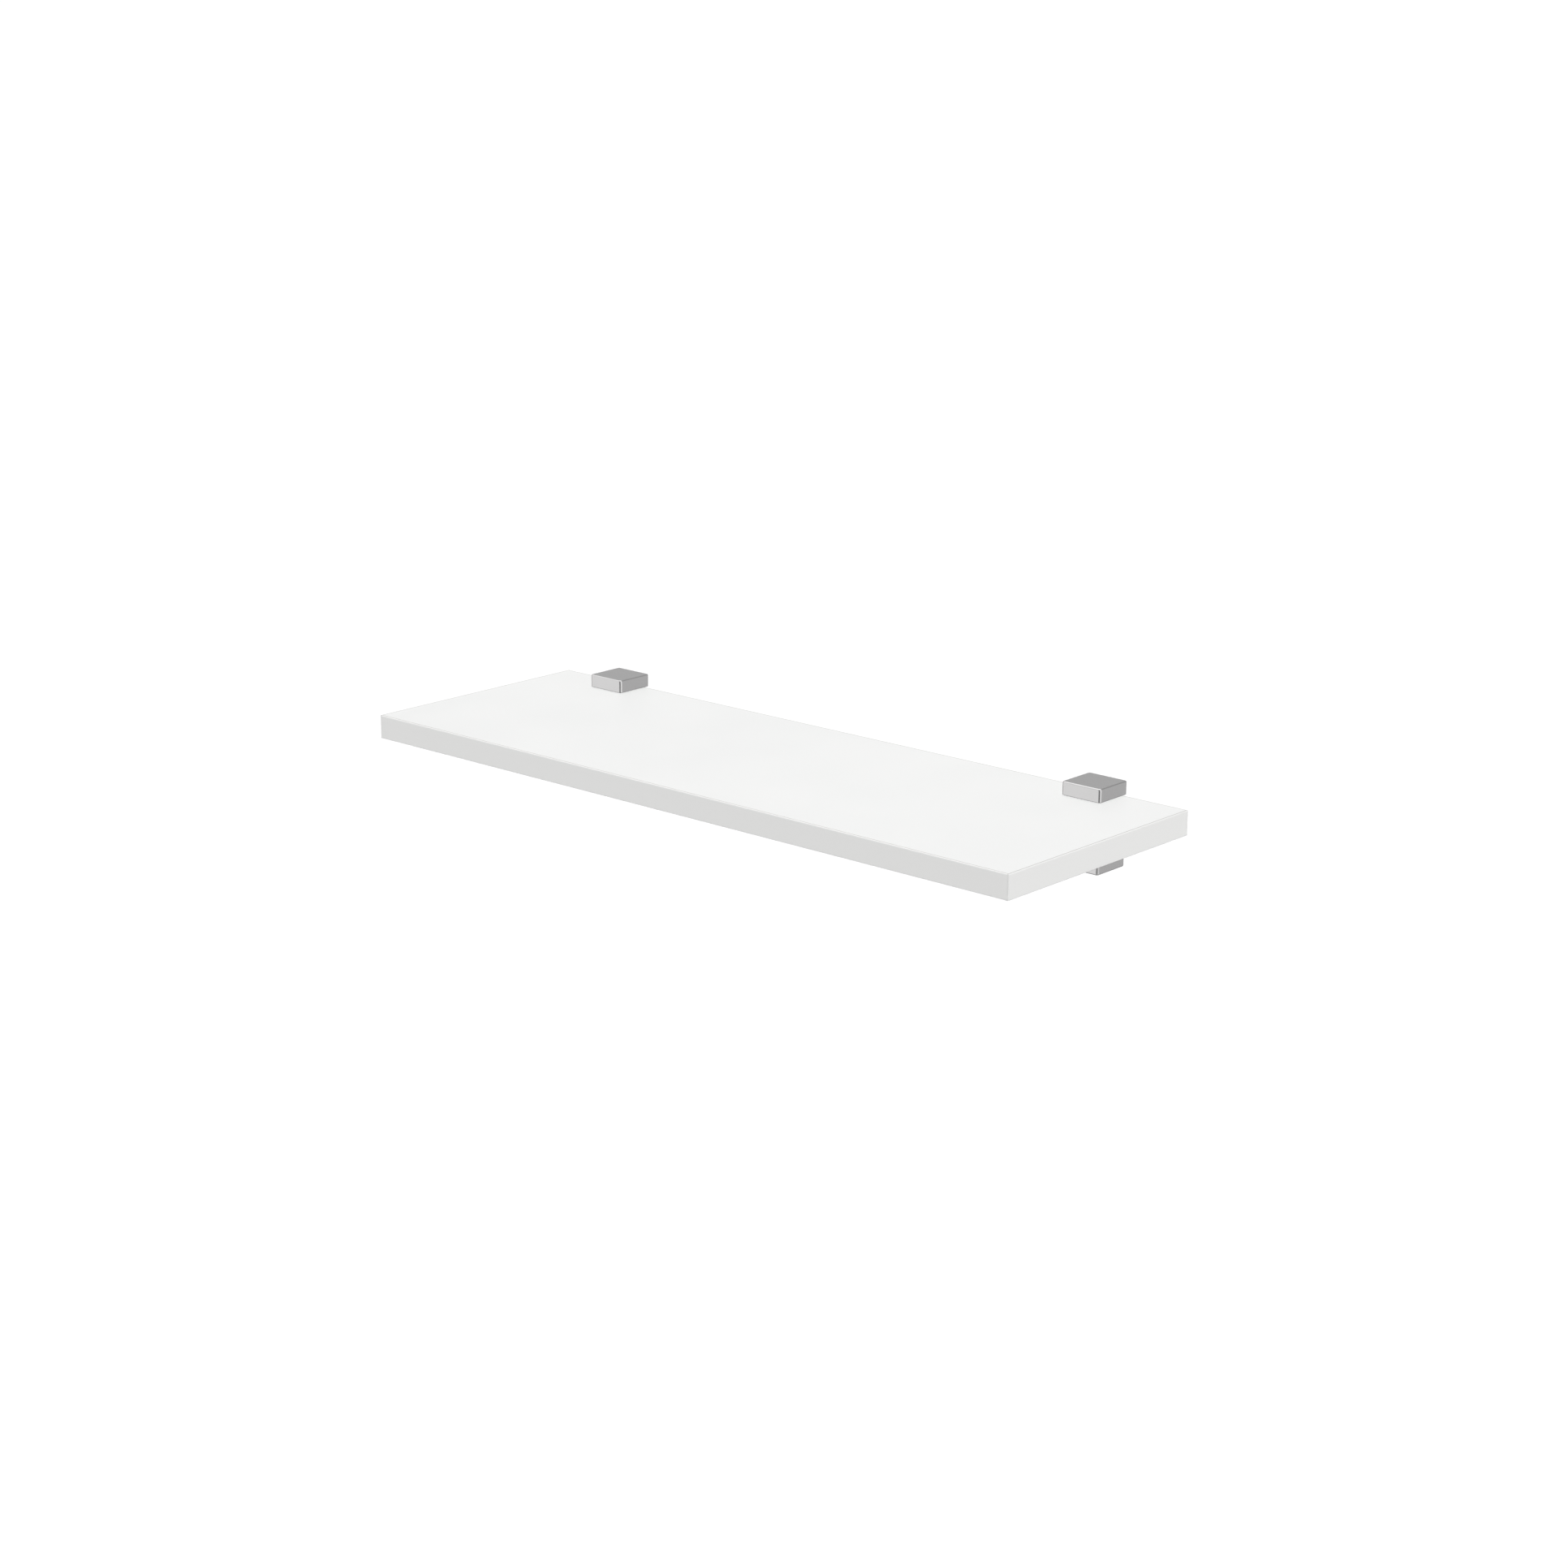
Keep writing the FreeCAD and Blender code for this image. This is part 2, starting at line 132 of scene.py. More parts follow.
class Graph:
    """Adds nodes to one node tree. An input's value is a number, a tuple or another node's output."""

    def __init__(self, tree):
        self.tree = tree
        tree.nodes.clear()

    def node(self, kind, inputs=(), output=0, **settings):
        """Adds a node and gives back one of its outputs, by name or number, if it has any."""
        made = self.tree.nodes.new(kind)
        for key, value in settings.items():
            setattr(made, key, value)
        for key, value in dict(inputs).items():
            if isinstance(value, bpy.types.NodeSocket):
                self.tree.links.new(value, made.inputs[key])
            else:
                made.inputs[key].default_value = value
        return made.outputs[output] if len(made.outputs) else None

    def maths(self, operation, a, b=0.0):
        return self.node("ShaderNodeMath", {0: a, 1: b}, operation=operation)

    def smooth(self, value, low, high, to_low=0.0, to_high=1.0):
        """Maps value from low..high to to_low..to_high with soft ends."""
        inputs = {"Value": value, "From Min": low, "From Max": high, "To Min": to_low, "To Max": to_high}
        return self.node("ShaderNodeMapRange", inputs, interpolation_type="SMOOTHSTEP")

    def mix(self, factor, a, b):
        """Blends two colours: a where factor is 0, b where it is 1."""
        return self.node("ShaderNodeMix", {"Factor": factor, MIX_COLOUR_A: a, MIX_COLOUR_B: b},
                         output=MIX_COLOUR_RESULT, data_type="RGBA")

    def place(self):
        """Position in the row frame at rest, in metres."""
        return self.node("ShaderNodeTexCoord", output="Object")

    def normal(self):
        """The x, y and z parts of the surface's direction in the row frame at rest."""
        return self.xyz(self.node("ShaderNodeTexCoord", output="Normal"))

    def xyz(self, vector):
        made = self.tree.nodes.new("ShaderNodeSeparateXYZ")
        self.tree.links.new(vector, made.inputs["Vector"])
        return made.outputs

    def stretched(self, vector, scale):
        return self.node("ShaderNodeVectorMath", {0: vector, 1: scale}, operation="MULTIPLY")

    def noise(self, vector, scale, detail=2.0, roughness=0.5):
        return self.node("ShaderNodeTexNoise",
                         {"Vector": vector, "Scale": scale, "Detail": detail, "Roughness": roughness})

    def bump(self, height, distance, normal=None):
        """Bends the surface's direction as if it stood out by height times distance."""
        inputs = {"Height": height, "Distance": distance}
        if normal is not None:
            inputs["Normal"] = normal
        return self.node("ShaderNodeBump", inputs)


def material(name, build):
    """Makes a material from a function that gives the shader's inputs."""
    made = bpy.data.materials.new(name)
    made.use_nodes = True
    graph = Graph(made.node_tree)
    surface = graph.node("ShaderNodeBsdfPrincipled", build(graph))
    graph.node("ShaderNodeOutputMaterial", {"Surface": surface})
    return made


def wear(node, made):
    """Gives a CAD node one material."""
    data = frame["nodes"][node].data
    data.materials.clear()
    data.materials.append(made)


# ---- studio ----


def make_world():
    """Lights the shelf with the room and its lamps, and shows the camera a plain white backdrop."""
    world = bpy.data.worlds.new("studio")
    world.use_nodes = True
    bpy.context.scene.world = world
    graph = Graph(world.node_tree)
    direction = graph.node("ShaderNodeTexCoord", output="Generated")
    height = graph.xyz(direction)[2]
    light = graph.node("ShaderNodeMath", {0: height, 1: ROOM_RISE, 2: ROOM_LEVEL}, operation="MULTIPLY_ADD")
    for towards, inner, outer, added in LAMPS.values():
        cosine = graph.node("ShaderNodeVectorMath", {0: direction, 1: Vector(towards).normalized()},
                            output="Value", operation="DOT_PRODUCT")
        lamp = graph.smooth(cosine, math.cos(math.radians(outer)), math.cos(math.radians(inner)), 0, added)
        light = graph.maths("ADD", light, lamp)
    seen = graph.node("ShaderNodeLightPath", output="Is Camera Ray")
    shown = graph.node("ShaderNodeMix", {"Factor": seen, MIX_NUMBER_A: light, MIX_NUMBER_B: BACKDROP_WHITE})
    background = graph.node("ShaderNodeBackground", {"Color": shown})
    graph.node("ShaderNodeOutputWorld", {"Surface": background})


def pale_floor(graph):
    """Matt white with a faint cloud."""
    return {
        "Base Color": graph.mix(graph.noise(graph.place(), 3.0), FLOOR_WHITE, FLOOR_CLOUD),
        "Roughness": 0.9,
        "Specular IOR Level": 0.1,
    }


def make_floor():
    """A pale floor far below the shelf. It shows to the camera only, so the lamps alone light the shelf."""
    level = cad_low.z - FLOOR_DROP
    corners = [(x * FLOOR_HALF, y * FLOOR_HALF, level) for x, y in ((-1, -1), (1, -1), (1, 1), (-1, 1))]
    mesh = bpy.data.meshes.new("floor")
    mesh.from_pydata(corners, [], [(0, 1, 2, 3)])
    mesh.materials.append(material("pale_floor", pale_floor))
    floor = bpy.data.objects.new("floor", mesh)
    floor.visible_diffuse = False
    floor.visible_glossy = False
    floor.visible_transmission = False
    floor.visible_shadow = False
    bpy.context.scene.collection.objects.link(floor)


def plain_studio_rays():
    """Keeps the board out of the nickel's mirror images, and the nickel's dark halo off the board."""
    for part in frame["record"]["subparts"]:
        piece = frame["nodes"][part["node"]]
        piece.visible_glossy = part["material_slot"] not in BOARD_SLOTS
        piece.visible_diffuse = part["material_slot"] != "satin_nickel"
    for side in SIDES:
        frame["nodes"][f"{side}_bracket_body"].visible_shadow = False


# ---- materials: lengths in metres, so a noise scale of 1000 gives features about a millimetre across ----

BOARD_WHITE = (0.862, 0.868, 0.862, 1)
BOARD_CLOUD = (0.874, 0.876, 0.868, 1)
BAND_WHITE = (0.880, 0.881, 0.872, 1)
BAND_CLOUD = (0.892, 0.892, 0.882, 1)
GLUE_LINE = (0.50, 0.49, 0.47, 1)
CHIP_PALE = (0.62, 0.43, 0.24, 1)
CHIP_DARK = (0.40, 0.24, 0.12, 1)
CHIP_FIBRE = (0.72, 0.55, 0.35, 1)
CHIP_GAP = (0.20, 0.12, 0.06, 1)
NICKEL = (0.600, 0.594, 0.594, 1)
NICKEL_BRIGHT = (0.680, 0.676, 0.676, 1)
NICKEL_RIM = (0.560, 0.555, 0.555, 1)
CAST_SKIN = (0.300, 0.297, 0.292, 1)
# Painted shade: the dark line where the brackets meet the board, standing in for the shadowed gap there.
PAINTED_GAP_SHADE = (0.110, 0.110, 0.112, 1)
RUBBER = (0.085, 0.085, 0.086, 1)
RUBBER_PALE = (0.115, 0.115, 0.117, 1)
RUBBER_DUST = (0.30, 0.29, 0.28, 1)
ZINC_BLUE = (0.58, 0.61, 0.66, 1)
ZINC_STRAW = (0.66, 0.64, 0.57, 1)
ZINC_SPOT = (0.42, 0.42, 0.42, 1)
PHOSPHATE = (0.055, 0.056, 0.060, 1)
PHOSPHATE_PALE = (0.105, 0.105, 0.108, 1)
PHOSPHATE_RUBBED = (0.28, 0.28, 0.28, 1)

# Seams between the facings and the bands: full to SEAM_CORE from the joint, gone at SEAM_EDGE.
SEAM_CORE = 0.20 * MM
SEAM_EDGE = 0.60 * MM
SEAM_SHADE = 0.78

# In front of the web, metal level with the board gets painted shade, a dark line for the shadowed gap at
# the board, and so does metal within the first distance above or below it. The painted shade fades out at
# the second distance.
GAP_SHADE_REACH = 0.50 * MM
GAP_SHADE_FADE = 0.70 * MM

# Faces more than this inside the lower jaw's outside count as hidden, fading in over the same again.
CAST_SKIN_INSET = 0.15 * MM

# Least and most roughness of each finish.
BOARD_ROUGH = (0.34, 0.44)
BAND_ROUGH = (0.29, 0.37)
CHIP_ROUGH = (0.70, 0.92)
NICKEL_ROUGH = (0.15, 0.22)
RUBBER_ROUGH = (0.72, 0.88)
ZINC_ROUGH = (0.22, 0.34)
PHOSPHATE_ROUGH = (0.40, 0.58)

# Roughness added where the metal is hidden, rounded or much handled, and taken off the bands' edges.
HIDDEN_ROUGHER = 0.22
EDGE_ROUGHER = 0.07
HANDLED_ROUGHER = 0.04
BAND_EDGE_SMOOTHER = 0.06

# Most that one tone, or one part of a texture, counts beside the other.
CLOUD_SHARE = 0.6
PEARL_SHARE = 0.4
PORE_SHARE = 0.35
FIBRE_SHARE = 0.4
BRIGHT_SHARE = 0.25
DUST_SHARE = 0.3
SPOT_SHARE = 0.35
RUBBED_SHARE = 0.6

# The largest part of a normal: flat faces are above the first, rounded edges below the second.
FLAT_NORMAL = 0.995
ROUND_NORMAL = 0.90

# How much a normal points up or down where a seam starts to show, and where it shows in full.
SEAM_TILT_START = 0.3
SEAM_TILT_FULL = 0.6

CHIPS_PER_METRE = 420.0
CHIP_FLATNESS = (1.0, 1.0, 2.6)
CHIP_FIBRE_STRETCH = (1.0, 6.0, 6.0)
CHIP_BEND = (0.004, 0.004, 0.004)
SCRAPER_ALONG_X = (18.0, 2600.0, 2600.0)
SCRAPER_ALONG_Y = (2600.0, 18.0, 2600.0)


def rounded_edge(graph):
    """1 on rounded or bevelled edges, 0 on faces square to the axes."""
    sizes = [graph.maths("ABSOLUTE", part) for part in graph.normal()]
    largest = graph.maths("MAXIMUM", graph.maths("MAXIMUM", sizes[0], sizes[1]), sizes[2])
    return graph.smooth(largest, FLAT_NORMAL, ROUND_NORMAL)


def along_seam(graph, at_long_bands=True):
    """Up to SEAM_SHADE in the seams between facing and bands, on the board's top and underside."""
    x, y, _ = graph.xyz(graph.place())
    low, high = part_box("top_face_laminate")
    gaps = [graph.maths("SUBTRACT", graph.maths("ABSOLUTE", x), high.x)]
    if at_long_bands:
        gaps += [graph.maths("SUBTRACT", y, low.y), graph.maths("SUBTRACT", y, high.y)]
    nearest = graph.maths("ABSOLUTE", gaps[0])
    for gap in gaps[1:]:
        nearest = graph.maths("MINIMUM", nearest, graph.maths("ABSOLUTE", gap))
    level = graph.smooth(graph.maths("ABSOLUTE", graph.normal()[2]), SEAM_TILT_START, SEAM_TILT_FULL)
    return graph.maths("MULTIPLY", level, graph.smooth(nearest, SEAM_EDGE, SEAM_CORE, 0, SEAM_SHADE))


def melamine(graph):
    """Satin white decor: faint clouds, a fine pearl texture, and a glue line where it meets the bands."""
    place = graph.place()
    cloud = graph.noise(place, 16.0, 3.0)
    pearl = graph.noise(place, 900.0, 3.0, 0.6)
    pores = graph.smooth(graph.noise(place, 2600.0, 1.0), 0.42, 0.34)
    colour = graph.mix(cloud, BOARD_WHITE, BOARD_CLOUD)
    height = graph.maths("SUBTRACT", pearl, graph.maths("MULTIPLY", pores, PORE_SHARE))
    sheen = graph.maths("ADD", graph.maths("MULTIPLY", cloud, CLOUD_SHARE),
                        graph.maths("MULTIPLY", pearl, PEARL_SHARE))
    return {
        "Base Color": graph.mix(along_seam(graph), colour, GLUE_LINE),
        "Roughness": graph.smooth(sheen, 0.3, 0.7, *BOARD_ROUGH),
        "Normal": graph.bump(height, 0.025 * MM),
    }


def edge_band(runs_along_x):
    """White plastic band: fine scraper lines along its length, and corners polished by trimming."""
    def build(graph):
        place = graph.place()
        stretch = SCRAPER_ALONG_X if runs_along_x else SCRAPER_ALONG_Y
        lines = graph.noise(graph.stretched(place, stretch), 1.0, 2.0)
        cloud = graph.noise(place, 24.0, 2.0)
        grain = graph.noise(place, 1500.0, 2.0)
        colour = graph.mix(cloud, BAND_WHITE, BAND_CLOUD)
        rough = graph.smooth(lines, 0.3, 0.7, *BAND_ROUGH)
        polish = graph.maths("MULTIPLY", rounded_edge(graph), BAND_EDGE_SMOOTHER)
        return {
            "Base Color": graph.mix(along_seam(graph, at_long_bands=runs_along_x), colour, GLUE_LINE),
            "Roughness": graph.maths("SUBTRACT", rough, polish),
            "Normal": graph.bump(lines, 0.004 * MM, normal=graph.bump(grain, 0.004 * MM)),
        }

    return build


def chipboard(graph):
    """Pressed wood chips of several tones, lying flat, with resin-dark gaps between them."""
    flat = graph.stretched(graph.place(), CHIP_FLATNESS)
    bend = graph.noise(flat, 260.0, 2.0)
    warped = graph.node("ShaderNodeVectorMath", {0: flat, 1: bend, 2: CHIP_BEND}, operation="MULTIPLY_ADD")
    chips = {"Vector": warped, "Scale": CHIPS_PER_METRE}
    tone = graph.xyz(graph.node("ShaderNodeTexVoronoi", chips, output="Color"))[0]
    gap = graph.node("ShaderNodeTexVoronoi", chips, output="Distance", feature="DISTANCE_TO_EDGE")
    fibre = graph.noise(graph.stretched(flat, CHIP_FIBRE_STRETCH), 900.0, 3.0)
    straw = graph.mix(tone, CHIP_PALE, CHIP_DARK)
    grained = graph.mix(graph.maths("MULTIPLY", fibre, FIBRE_SHARE), straw, CHIP_FIBRE)
    edge = graph.smooth(gap, 0.0, 0.10)
    return {
        "Base Color": graph.mix(edge, CHIP_GAP, grained),
        "Roughness": graph.smooth(fibre, 0.2, 0.8, *CHIP_ROUGH),
        "Normal": graph.bump(graph.maths("MULTIPLY", edge, tone), 0.15 * MM),
    }


def inside_jaw(graph, x, y, z):
    """1 on faces inside a lower jaw's block or on its top or back, 0 on its sides, front and base."""
    low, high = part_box("right_lower_jaw")
    middle = (low.x + high.x) / 2
    half = (high.x - low.x) / 2
    inset = CAST_SKIN_INSET
    aside = graph.maths("ABSOLUTE", graph.maths("SUBTRACT", graph.maths("ABSOLUTE", x), middle))
    within_x = graph.smooth(aside, half - inset, half - 2 * inset)
    within_y = graph.smooth(y, low.y + inset, low.y + 2 * inset)
    above_base = graph.smooth(z, low.z + inset, low.z + 2 * inset)
    below_top = graph.smooth(z, high.z + inset, high.z)
    return graph.maths("MULTIPLY", graph.maths("MULTIPLY", within_x, within_y),
                       graph.maths("MULTIPLY", above_base, below_top))


def painted_gap_shade(graph, z):
    """Where painted shade for the gap at the board goes: 1 level with the board and just above and below
    it, 0 further away.
    """
    low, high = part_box("front_edge_band")
    from_middle = graph.maths("ABSOLUTE", graph.maths("SUBTRACT", z, (low.z + high.z) / 2))
    from_board = graph.maths("SUBTRACT", from_middle, (high.z - low.z) / 2)
    return graph.smooth(from_board, GAP_SHADE_FADE, GAP_SHADE_REACH)


def satin_nickel(graph):
    """Satin nickel on a zinc casting: a rougher skin on hidden faces, and painted shade on the rims beside
    the board.
    """
    place = graph.place()
    x, y, z = graph.xyz(place)
    web_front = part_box("back_edge_band")[1].y
    before_web = graph.smooth(y, web_front, web_front - CAST_SKIN_INSET)
    # Painted shade along the rims beside the board, for the shadowed gap between metal and board.
    gap_shade = graph.maths("MULTIPLY", before_web, painted_gap_shade(graph, z))
    in_jaw = graph.maths("MULTIPLY", before_web, inside_jaw(graph, x, y, z))
    skin_and_gap_shade_mask = graph.maths("MAXIMUM", in_jaw, gap_shade)
    grain = graph.noise(place, 7000.0, 3.0)
    handled = graph.noise(place, 55.0, 3.0, 0.6)
    wave = graph.noise(place, 90.0, 2.0)
    skin_lumps = graph.noise(place, 1300.0, 4.0, 0.65)
    handled_edge = rounded_edge(graph)
    flat_tone = graph.mix(graph.maths("MULTIPLY", wave, BRIGHT_SHARE), NICKEL, NICKEL_BRIGHT)
    outside = graph.mix(handled_edge, flat_tone, NICKEL_RIM)
    # Hidden faces get the cast skin's own tone, and the rims beside the board get painted shade.
    skin_and_gap_shade = graph.mix(gap_shade, graph.mix(skin_lumps, CAST_SKIN, NICKEL), PAINTED_GAP_SHADE)
    satin = graph.maths("ADD", graph.smooth(grain, 0.25, 0.75, *NICKEL_ROUGH),
                        graph.smooth(handled, 0.45, 0.70, 0.0, HANDLED_ROUGHER))
    rough = graph.maths("ADD", satin, graph.maths("MULTIPLY", handled_edge, EDGE_ROUGHER))
    fine = graph.bump(grain, 0.002 * MM, normal=graph.bump(wave, 0.02 * MM))
    return {
        "Base Color": graph.mix(skin_and_gap_shade_mask, outside, skin_and_gap_shade),
        "Metallic": 1.0,
        "Roughness": graph.maths("ADD", rough, graph.maths("MULTIPLY", skin_and_gap_shade_mask, HIDDEN_ROUGHER)),
        "Normal": graph.bump(graph.maths("MULTIPLY", skin_lumps, skin_and_gap_shade_mask), 0.03 * MM, normal=fine),
    }


def rubber(graph):
    """Grey moulded rubber with a fine matt grain and a little dust."""
    place = graph.place()
    grain = graph.noise(place, 2400.0, 3.0)
    dust = graph.smooth(graph.noise(place, 320.0, 4.0, 0.7), 0.50, 0.75)
    colour = graph.mix(grain, RUBBER, RUBBER_PALE)
    return {
        "Base Color": graph.mix(graph.maths("MULTIPLY", dust, DUST_SHARE), colour, RUBBER_DUST),
        "Roughness": graph.smooth(grain, 0.2, 0.8, *RUBBER_ROUGH),
        "Normal": graph.bump(grain, 0.02 * MM),
    }


def zinc_plate(graph):
    """Bright zinc plating: turning rings round the screw's axis and a faint blue and straw bloom."""
    place = graph.place()
    x, y, z = graph.xyz(place)
    low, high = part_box("right_clamp_screw")
    across = graph.maths("SUBTRACT", graph.maths("ABSOLUTE", x), (low.x + high.x) / 2)
    along = graph.maths("SUBTRACT", y, (low.y + high.y) / 2)
    radius = graph.maths("SQRT", graph.maths("ADD", graph.maths("MULTIPLY", across, across),
                                             graph.maths("MULTIPLY", along, along)))
    rings = graph.node("ShaderNodeTexNoise",
                       {"W": graph.maths("ADD", radius, z), "Scale": 6500.0, "Detail": 2.0},
                       noise_dimensions="1D")
    bloom = graph.noise(place, 420.0, 3.0)
    spots = graph.smooth(graph.noise(place, 1800.0, 3.0), 0.62, 0.72)
    tint = graph.mix(graph.smooth(bloom, 0.35, 0.65), ZINC_BLUE, ZINC_STRAW)
    return {
        "Base Color": graph.mix(graph.maths("MULTIPLY", spots, SPOT_SHARE), tint, ZINC_SPOT),
        "Metallic": 1.0,
        "Roughness": graph.smooth(rings, 0.25, 0.75, *ZINC_ROUGH),
        "Normal": graph.bump(rings, 0.004 * MM),
    }


def phosphate(graph):
    """Dark phosphated spring steel: a fine crystal grain, rubbed brighter along its edges."""
    place = graph.place()
    crystals = graph.node("ShaderNodeTexVoronoi", {"Vector": place, "Scale": 5200.0}, output="Distance")
    bloom = graph.noise(place, 700.0, 3.0)
    colour = graph.mix(bloom, PHOSPHATE, PHOSPHATE_PALE)
    rubbed = graph.maths("MULTIPLY", rounded_edge(graph), RUBBED_SHARE)
    return {
        "Base Color": graph.mix(rubbed, colour, PHOSPHATE_RUBBED),
        "Metallic": 1.0,
        "Roughness": graph.smooth(crystals, 0.0, 0.6, *PHOSPHATE_ROUGH),
        "Normal": graph.bump(crystals, 0.005 * MM),
    }


# ---- clamp screws: M6, head down, local heights are above the underside of the head ----

SHANK_RADIUS = 3.0 * MM
THREAD_DEPTH = 0.54 * MM
PITCH = 1.0 * MM
RING_GROOVE_RADIUS = 2.45 * MM
RING_GROOVE_BASE = 3.6 * MM
RING_GROOVE_TOP = 4.5 * MM
THREAD_BASE = 5.0 * MM
TIP_BEVEL = 0.7 * MM
HEAD_RADIUS = 5.0 * MM
HEAD_HEIGHT = 4.0 * MM
HEAD_ROUND = 0.6 * MM
HEAD_ROUND_STEPS = 5
HEAD_BEVEL = 0.25 * MM
SOCKET_WIDTH = 4.0 * MM
SOCKET_DEPTH = 2.3 * MM
SOCKET_LEAD_IN = 0.15 * MM
DRILL_POINT = 0.7 * MM
KNURL_DEPTH = 0.12 * MM
SHANK_COLUMNS = 36
HEAD_COLUMNS = 4 * SHANK_COLUMNS
ROWS_PER_PITCH = 12
SHARP_ANGLE = math.radians(28)

# Shares of half a pitch, from the middle of a crest: where the flank starts, and where the root starts.
FLANK_START = 1 / 8
ROOT_START = 3 / 4


def thread_radius(angle, height, length):
    """Radius of a right-hand 60 degree thread with flat crests and roots, fading in above its base."""
    phase = (height / PITCH - angle / math.tau) % 1.0
    from_crest = abs(2 * phase - 1)
    cut = min(max((from_crest - FLANK_START) / (ROOT_START - FLANK_START), 0.0), 1.0)
    fade = min(max((height - THREAD_BASE) / PITCH, 0.0), 1.0)
    tip = SHANK_RADIUS - TIP_BEVEL + length - height
    return min(SHANK_RADIUS - THREAD_DEPTH * cut * fade, tip)


def hexagon_radius(angle, width):
    """Distance from the middle to the side of a hexagon, of a width measured across its flats."""
    from_flat = (angle + math.pi / 6) % (math.pi / 3) - math.pi / 6
    return width / 2 / math.cos(from_flat)


def knurled(column, radius):
    """Radius of a fine straight knurl, two columns to a tooth."""
    return radius - KNURL_DEPTH * (column % 2)


def ring_of(columns, height, radius_at):
    """Points round the screw's axis at one height."""
    turn = math.tau / columns
    return [(radius_at(i) * math.cos(turn * i), radius_at(i) * math.sin(turn * i), height)
            for i in range(columns)]


def shank_rings(length):
    """From the underside of the head up to the tip."""
    rings = []
    for height, radius in ((0.0, SHANK_RADIUS), (RING_GROOVE_BASE, SHANK_RADIUS),
                           (RING_GROOVE_BASE, RING_GROOVE_RADIUS), (RING_GROOVE_TOP, RING_GROOVE_RADIUS),
                           (RING_GROOVE_TOP, SHANK_RADIUS)):
        rings.append(ring_of(SHANK_COLUMNS, height, lambda i: radius))
    rows = round((length - THREAD_BASE) / PITCH * ROWS_PER_PITCH)
    turn = math.tau / SHANK_COLUMNS
    for row in range(rows + 1):
        height = THREAD_BASE + (length - THREAD_BASE) * row / rows
        rings.append(ring_of(SHANK_COLUMNS, height, lambda i: thread_radius(turn * i, height, length)))
    return rings


def head_rings():
    """From the underside of the head, round its knurled rim and down into the hexagonal socket."""
    turn = math.tau / HEAD_COLUMNS
    rings = [ring_of(HEAD_COLUMNS, 0.0, lambda i: HEAD_RADIUS - KNURL_DEPTH - HEAD_BEVEL),
             ring_of(HEAD_COLUMNS, -HEAD_BEVEL, lambda i: knurled(i, HEAD_RADIUS)),
             ring_of(HEAD_COLUMNS, HEAD_ROUND - HEAD_HEIGHT, lambda i: knurled(i, HEAD_RADIUS))]
    centre = HEAD_RADIUS - HEAD_ROUND
    for step in range(1, HEAD_ROUND_STEPS + 1):
        lean = math.radians(90 * step / HEAD_ROUND_STEPS)
        radius = centre + HEAD_ROUND * math.cos(lean)
        height = HEAD_ROUND - HEAD_HEIGHT - HEAD_ROUND * math.sin(lean)
        rings.append(ring_of(HEAD_COLUMNS, height, lambda i: min(radius, knurled(i, HEAD_RADIUS))))
    for width, height in ((SOCKET_WIDTH + 2 * SOCKET_LEAD_IN, -HEAD_HEIGHT),
                          (SOCKET_WIDTH, SOCKET_LEAD_IN - HEAD_HEIGHT),
                          (SOCKET_WIDTH, SOCKET_DEPTH - HEAD_HEIGHT)):
        rings.append(ring_of(HEAD_COLUMNS, height, lambda i: hexagon_radius(turn * i, width)))
    return rings


def walls(rings, columns, start, outwards_up):
    """Four-sided faces between rings of points, the first of which has the number start."""
    faces = []
    for row in range(len(rings) - 1):
        near = start + row * columns
        far = near + columns
        for i in range(columns):
            beside = (i + 1) % columns
            face = (near + i, near + beside, far + beside, far + i)
            faces.append(face if outwards_up else face[::-1])
    return faces


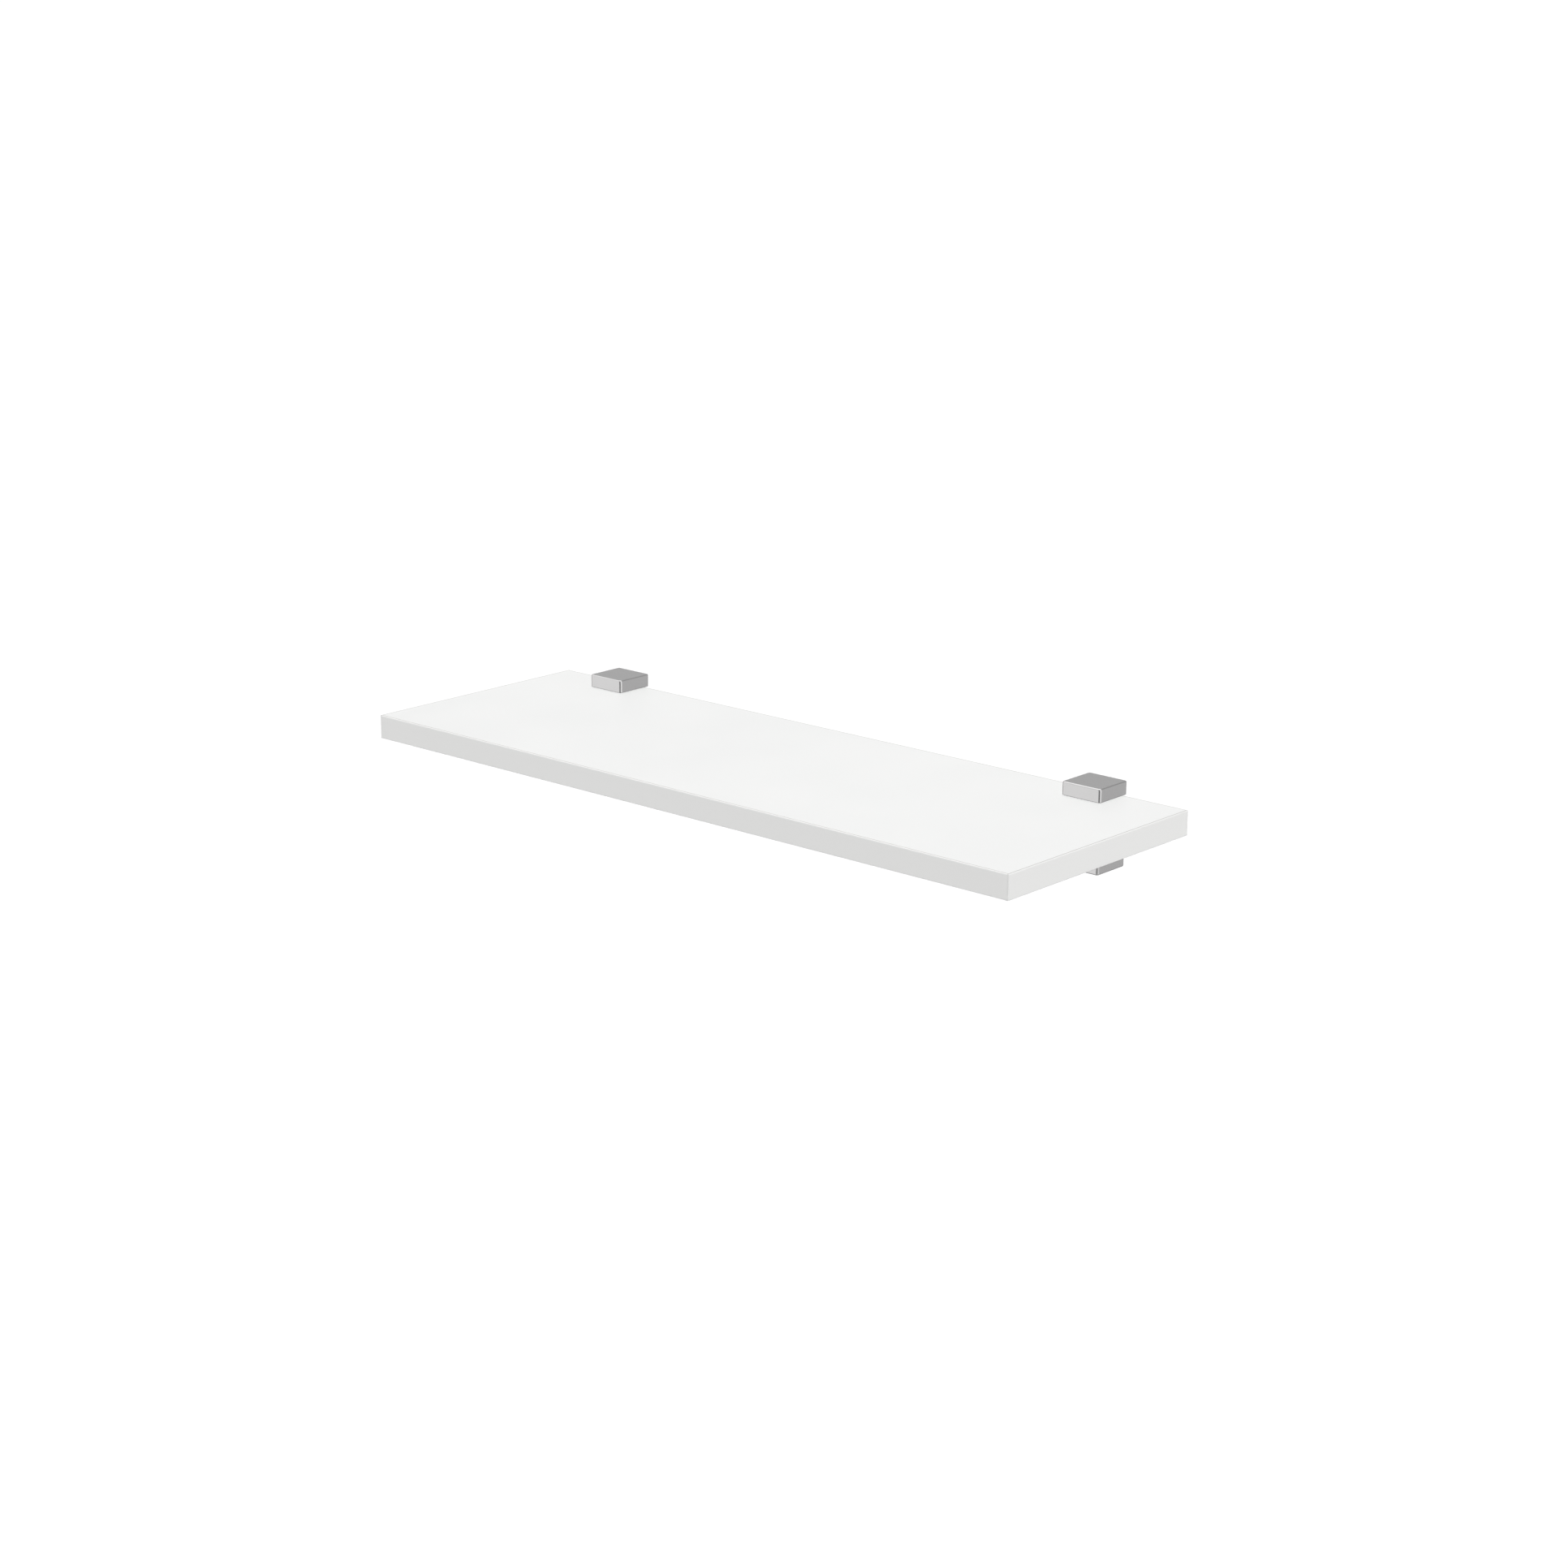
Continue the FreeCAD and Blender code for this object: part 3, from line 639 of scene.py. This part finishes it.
def screw_shape(length):
    """Points and faces of one closed mesh: a threaded shank, a knurled head and its hexagonal socket."""
    shank, head = shank_rings(length), head_rings()
    points = [point for ring in shank + head for point in ring]
    tip = len(points)
    points.append((0.0, 0.0, length))
    drill = len(points)
    points.append((0.0, 0.0, SOCKET_DEPTH - HEAD_HEIGHT + DRILL_POINT))
    head_start = len(shank) * SHANK_COLUMNS
    faces = walls(shank, SHANK_COLUMNS, 0, outwards_up=True)
    faces += walls(head, HEAD_COLUMNS, head_start, outwards_up=False)
    last_shank = head_start - SHANK_COLUMNS
    faces += [(last_shank + i, last_shank + (i + 1) % SHANK_COLUMNS, tip) for i in range(SHANK_COLUMNS)]
    ratio = HEAD_COLUMNS // SHANK_COLUMNS
    for i in range(SHANK_COLUMNS):
        outer = [head_start + (i * ratio + k) % HEAD_COLUMNS for k in range(ratio + 1)]
        faces.append([i] + outer + [(i + 1) % SHANK_COLUMNS])
    last_head = tip - HEAD_COLUMNS
    faces += [(last_head + (i + 1) % HEAD_COLUMNS, last_head + i, drill) for i in range(HEAD_COLUMNS)]
    return points, faces


def make_screw(side, finish):
    """A detailed screw that stands for the plain CAD one, and turns and travels with its body."""
    low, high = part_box(f"{side}_clamp_screw")
    points, faces = screw_shape(high.z - low.z - HEAD_HEIGHT)
    head_underside = Vector(((low.x + high.x) / 2, (low.y + high.y) / 2, low.z + HEAD_HEIGHT))
    mesh = bpy.data.meshes.new(f"{side}_threaded_clamp_screw")
    mesh.from_pydata([head_underside + Vector(point) for point in points], [], faces)
    mesh.validate()
    mesh.shade_smooth()
    mesh.set_sharp_from_angle(angle=SHARP_ANGLE)
    mesh.materials.append(finish)
    screw = bpy.data.objects.new(f"{side}_threaded_clamp_screw", mesh)
    bpy.context.scene.collection.objects.link(screw)
    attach(screw, f"{side}_screw")
    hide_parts(f"{side}_clamp_screw")


# ---- the scene ----

bpy.context.scene.view_settings.view_transform = "Standard"
make_camera()
make_world()
make_floor()
plain_studio_rays()

looks = {
    "white_melamine": melamine,
    "white_edge_band": edge_band(runs_along_x=True),
    "chipboard": chipboard,
    "satin_nickel": satin_nickel,
    "pad_rubber": rubber,
    "plated_steel": zinc_plate,
    "spring_steel": phosphate,
}
finishes = {name: material(name, build) for name, build in looks.items()}
for part in frame["record"]["subparts"]:
    wear(part["node"], finishes[part["material_slot"]])
end_band = material("white_end_band", edge_band(runs_along_x=False))
for side in SIDES:
    wear(f"{side}_edge_band", end_band)
    make_screw(side, finishes["plated_steel"])
